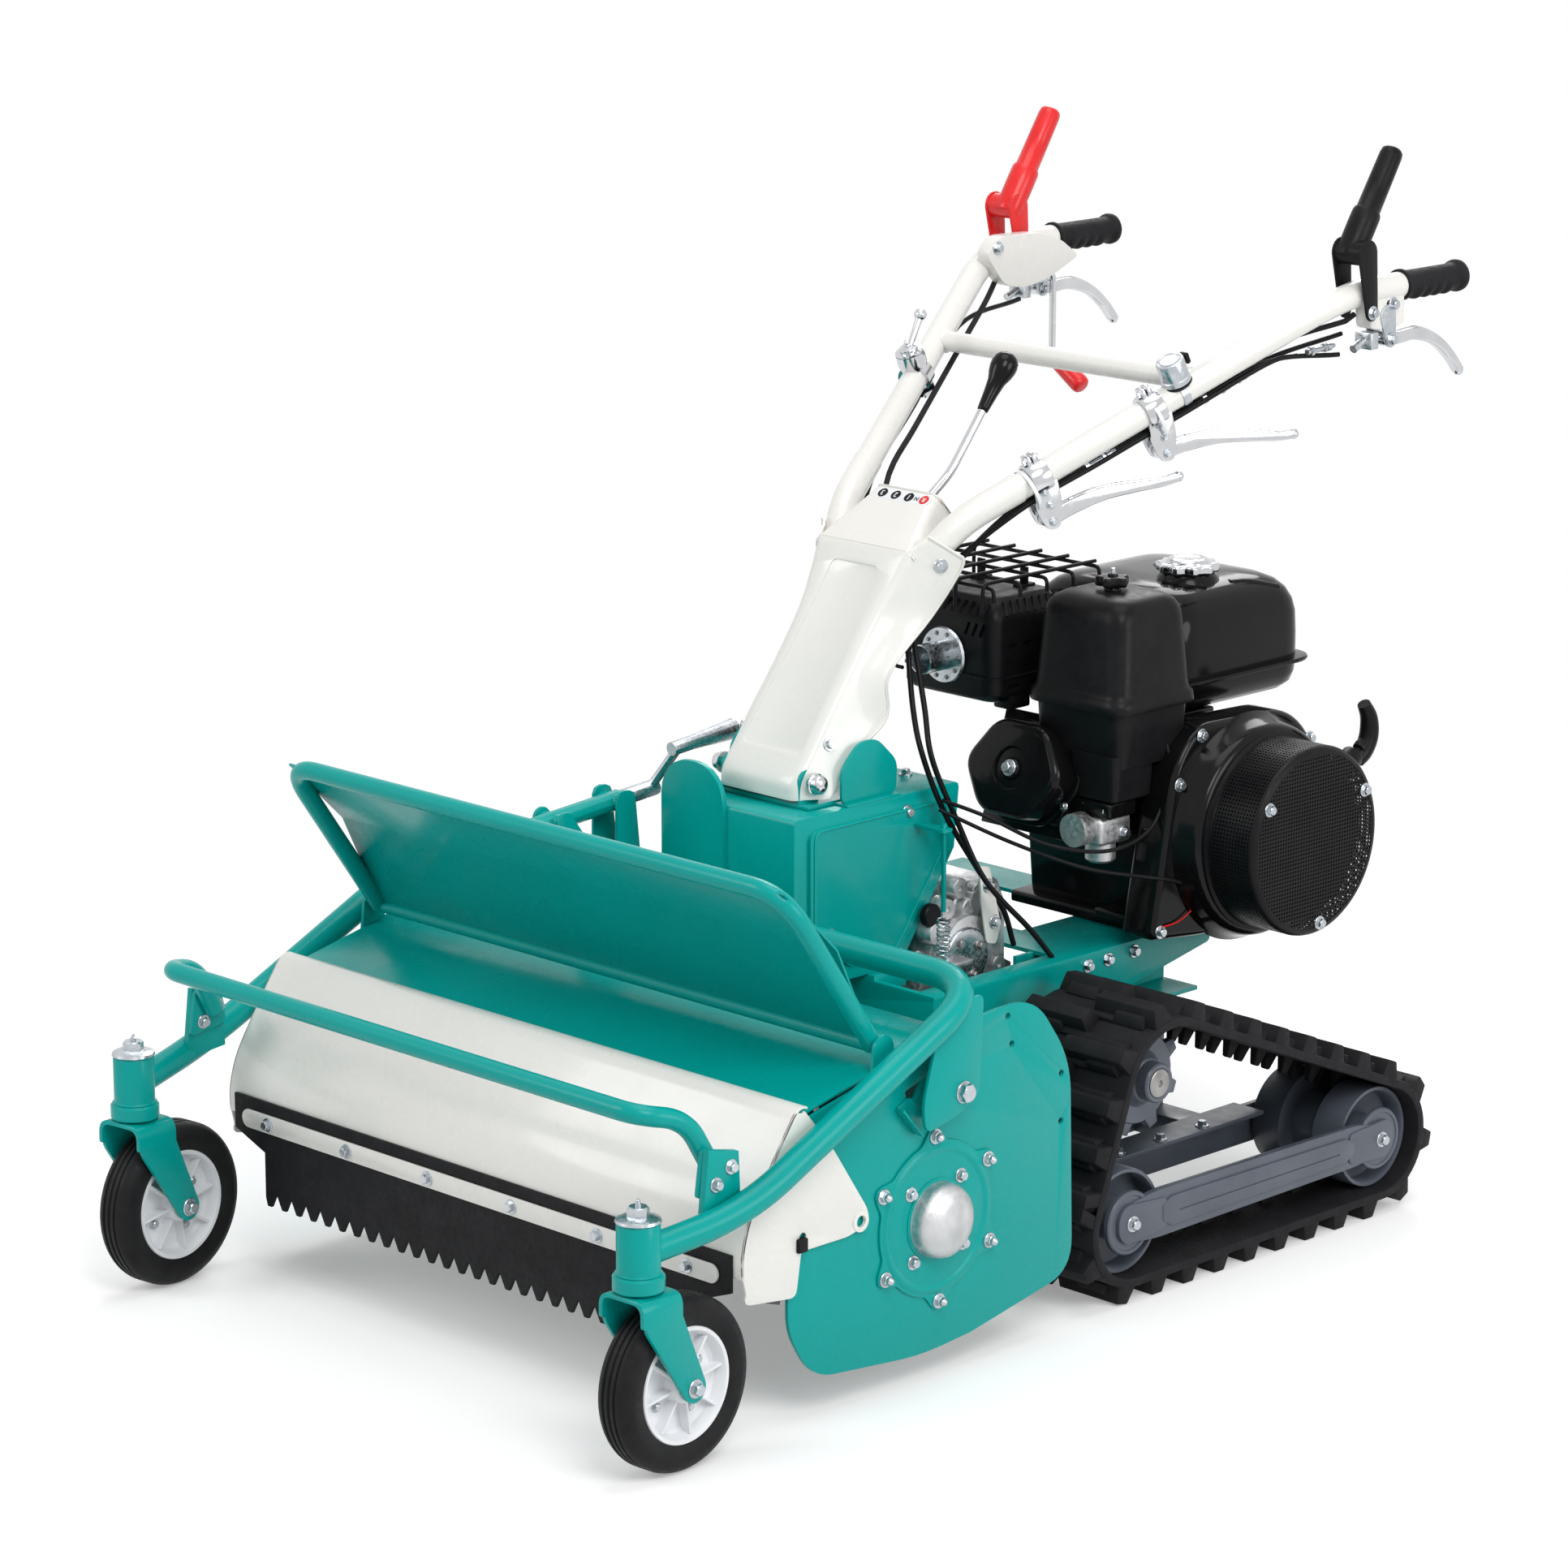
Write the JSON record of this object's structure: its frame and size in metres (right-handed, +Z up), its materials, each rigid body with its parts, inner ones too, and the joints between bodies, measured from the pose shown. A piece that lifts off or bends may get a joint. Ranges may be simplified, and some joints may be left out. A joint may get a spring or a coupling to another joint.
{
  "type": "walk-behind flail mower",
  "caption": "Tracked walk-behind flail mower with front casters, a hinged deck hood and rubber skirt, a petrol engine and a tilting handle with hand levers.",
  "frame": {"origin": "on the ground at the middle of the machine's bounding box", "axes": "+Z up, -Y towards the casters at the front, +X towards the operator's left"},
  "size_m": [0.9289, 1.56, 1.2683],
  "materials": {
    "teal": "gloss teal-green paint",
    "cream": "gloss off-white paint",
    "rubber": "matt black rubber",
    "tyre": "black tyre rubber",
    "grey": "dark blue-grey paint",
    "zinc": "bright zinc plate",
    "alloy": "cast alloy",
    "chrome": "bright chrome",
    "white": "white plastic",
    "black": "black plastic",
    "gloss": "gloss black paint",
    "red": "red plastic",
    "steel": "bare steel"
  },
  "bodies": {
    "machine": {"chassis_frame": "teal", "belt_case": "teal", "handle_bracket": "teal", "deck_housing": "teal", "side_plate_left": "teal", "side_plate_right": "teal", "transmission_case": "alloy", "engine_block": "gloss", "fan_shroud": "gloss", "recoil_cover": "black", "fuel_tank": "gloss", "air_cleaner": "black", "muffler": "black", "muffler_guard": "black", "roller_arm_left": "grey", "roller_arm_right": "grey", "track_belt_left": "rubber", "track_belt_right": "rubber", "adjuster_tube": "teal", "return_spring": "zinc"},
    "front_frame": {"caster_frame": "teal", "bumper_bar": "teal"},
    "caster_left": {"caster_fork_left": "teal"},
    "caster_right": {"caster_fork_right": "teal"},
    "caster_wheel_left": {"caster_hub_left": "white", "caster_tyre_left": "tyre"},
    "caster_wheel_right": {"caster_hub_right": "white", "caster_tyre_right": "tyre"},
    "hood": {"hood": "cream", "skirt": "rubber", "skirt_strip": "cream"},
    "deflector": {"deflector": "teal"},
    "drum": {"flail_drum": "steel"},
    "sprocket_left": {"drive_sprocket_left": "grey"},
    "sprocket_right": {"drive_sprocket_right": "grey"},
    "front_roller_left": {"front_roller_left": "grey"},
    "front_roller_right": {"front_roller_right": "grey"},
    "rear_roller_left": {"rear_roller_left": "grey"},
    "rear_roller_right": {"rear_roller_right": "grey"},
    "handle": {"handlebar": "cream", "console_cover": "cream", "grip_left": "rubber", "grip_right": "rubber", "stop_switch": "grey", "control_cable_left": "rubber", "control_cable_right": "rubber"},
    "gear_lever": {"gear_lever": "black"},
    "clutch_left": {"clutch_lever_left": "black"},
    "clutch_right": {"clutch_lever_right": "red"},
    "brake_left": {"brake_lever_left": "chrome"},
    "brake_right": {"brake_lever_right": "chrome"},
    "side_lever_lower": {"side_lever_lower": "chrome"},
    "side_lever_upper": {"side_lever_upper": "chrome"},
    "throttle": {"throttle_lever": "chrome"},
    "turn_lever": {"turn_lever": "red"},
    "crank": {"height_crank": "zinc"},
    "fuel_cap": {"fuel_cap": "alloy"},
    "air_cleaner_knob": {"air_cleaner_knob": "black"},
    "starter_grip": {"starter_grip": "black"}
  },
  "joints": [
    {"name": "height_adjust", "type": "hinge", "parent": "machine", "child": "front_frame", "pos_m": [0, -0.273, 0.332], "axis": [1, 0, 0], "range_deg": [-2, 2]},
    {"name": "caster_swivel_left", "type": "hinge", "parent": "front_frame", "child": "caster_left", "pos_m": [0.42, -0.7325, 0.21], "axis": [0, 0, 1], "continuous": true},
    {"name": "caster_swivel_right", "type": "hinge", "parent": "front_frame", "child": "caster_right", "pos_m": [-0.42, -0.7325, 0.21], "axis": [0, 0, 1], "continuous": true},
    {"name": "caster_roll_left", "type": "hinge", "parent": "caster_left", "child": "caster_wheel_left", "pos_m": [0.41825, -0.68253, 0.097], "axis": [0.9994, 0.0349, 0], "continuous": true},
    {"name": "caster_roll_right", "type": "hinge", "parent": "caster_right", "child": "caster_wheel_right", "pos_m": [-0.42523, -0.68277, 0.097], "axis": [0.9945, 0.1045, 0], "continuous": true},
    {"name": "hood_hinge", "type": "hinge", "parent": "machine", "child": "hood", "pos_m": [0, -0.41, 0.211], "axis": [-1, 0, 0], "range_deg": [0, 8]},
    {"name": "deflector_fold", "type": "hinge", "parent": "machine", "child": "deflector", "pos_m": [0, -0.37, 0.396], "axis": [-1, 0, 0], "range_deg": [0, 20]},
    {"name": "drum_spin", "type": "hinge", "parent": "machine", "child": "drum", "pos_m": [0, -0.289, 0.185], "axis": [1, 0, 0], "continuous": true},
    {"name": "sprocket_spin_left", "type": "hinge", "parent": "machine", "child": "sprocket_left", "pos_m": [0.328, 0.115, 0.245], "axis": [1, 0, 0], "continuous": true},
    {"name": "sprocket_spin_right", "type": "hinge", "parent": "machine", "child": "sprocket_right", "pos_m": [-0.328, 0.115, 0.245], "axis": [1, 0, 0], "continuous": true},
    {"name": "front_roller_spin_left", "type": "hinge", "parent": "machine", "child": "front_roller_left", "pos_m": [0.328, 0.052, 0.0944], "axis": [1, 0, 0], "continuous": true},
    {"name": "front_roller_spin_right", "type": "hinge", "parent": "machine", "child": "front_roller_right", "pos_m": [-0.328, 0.052, 0.0944], "axis": [1, 0, 0], "continuous": true},
    {"name": "rear_roller_spin_left", "type": "hinge", "parent": "machine", "child": "rear_roller_left", "pos_m": [0.328, 0.502, 0.0944], "axis": [1, 0, 0], "continuous": true},
    {"name": "rear_roller_spin_right", "type": "hinge", "parent": "machine", "child": "rear_roller_right", "pos_m": [-0.328, 0.502, 0.0944], "axis": [1, 0, 0], "continuous": true},
    {"name": "handle_tilt", "type": "hinge", "parent": "machine", "child": "handle", "pos_m": [0, -0.125, 0.585], "axis": [1, 0, 0], "range_deg": [-3, 3]},
    {"name": "gear_shift", "type": "hinge", "parent": "handle", "child": "gear_lever", "pos_m": [0.022, 0.07, 0.8], "axis": [0, 1, 0], "range_deg": [-16, 4]},
    {"name": "clutch_squeeze_left", "type": "hinge", "parent": "handle", "child": "clutch_left", "pos_m": [0.28, 0.58, 1.075], "axis": [-1, 0, 0], "range_deg": [0, 25], "stiffness_Nm_per_rad": 4, "springref_deg": -17.19},
    {"name": "clutch_squeeze_right", "type": "hinge", "parent": "handle", "child": "clutch_right", "pos_m": [-0.28, 0.58, 1.075], "axis": [-1, 0, 0], "range_deg": [0, 25], "stiffness_Nm_per_rad": 4, "springref_deg": -17.19},
    {"name": "brake_squeeze_left", "type": "hinge", "parent": "handle", "child": "brake_left", "pos_m": [0.28, 0.626, 1.037], "axis": [1, 0, 0], "range_deg": [0, 12], "stiffness_Nm_per_rad": 2, "springref_deg": -17.19},
    {"name": "brake_squeeze_right", "type": "hinge", "parent": "handle", "child": "brake_right", "pos_m": [-0.28, 0.626, 1.037], "axis": [1, 0, 0], "range_deg": [0, 12], "stiffness_Nm_per_rad": 2, "springref_deg": -17.19},
    {"name": "side_lever_lower_squeeze", "type": "hinge", "parent": "handle", "child": "side_lever_lower", "pos_m": [0.13518, 0.19833, 0.85628], "axis": [0.9212, -0.3891, 0], "range_deg": [0, 6], "stiffness_Nm_per_rad": 2, "springref_deg": -17.19},
    {"name": "side_lever_upper_squeeze", "type": "hinge", "parent": "handle", "child": "side_lever_upper", "pos_m": [0.19194, 0.33264, 0.92624], "axis": [0.9212, -0.3891, 0], "range_deg": [0, 12], "stiffness_Nm_per_rad": 2, "springref_deg": -17.19},
    {"name": "throttle_turn", "type": "hinge", "parent": "handle", "child": "throttle", "pos_m": [-0.184, 0.2964, 1.0043], "axis": [0, -0.3714, 0.9285], "range_deg": [0, 50]},
    {"name": "turn_lever_pull", "type": "hinge", "parent": "handle", "child": "turn_lever", "pos_m": [-0.2677, 0.6, 1.072], "axis": [1, 0, 0], "range_deg": [0, 10], "stiffness_Nm_per_rad": 1, "springref_deg": -17.19},
    {"name": "crank_turn", "type": "hinge", "parent": "machine", "child": "crank", "pos_m": [-0.19, -0.186, 0.531], "axis": [0, 0.9969, 0.0781], "continuous": true},
    {"name": "fuel_cap_turn", "type": "hinge", "parent": "machine", "child": "fuel_cap", "pos_m": [0.12, 0.465, 0.7543], "axis": [0, 0, 1], "range_deg": [0, 90]},
    {"name": "air_cleaner_knob_turn", "type": "hinge", "parent": "machine", "child": "air_cleaner_knob", "pos_m": [0.176, 0.267, 0.7703], "axis": [0, 0, 1], "continuous": true},
    {"name": "starter_pull", "type": "slide", "parent": "machine", "child": "starter_grip", "axis": [0, 0.8821, 0.4711], "range_m": [0, 0.3], "stiffness_N_per_m": 40, "springref_m": -0.05}
  ],
  "couplings": [
    {"joint": "front_roller_spin_left", "follows": "sprocket_spin_left", "ratio": 1.129},
    {"joint": "rear_roller_spin_left", "follows": "sprocket_spin_left", "ratio": 1.129},
    {"joint": "front_roller_spin_right", "follows": "sprocket_spin_right", "ratio": 1.129},
    {"joint": "rear_roller_spin_right", "follows": "sprocket_spin_right", "ratio": 1.129}
  ]
}
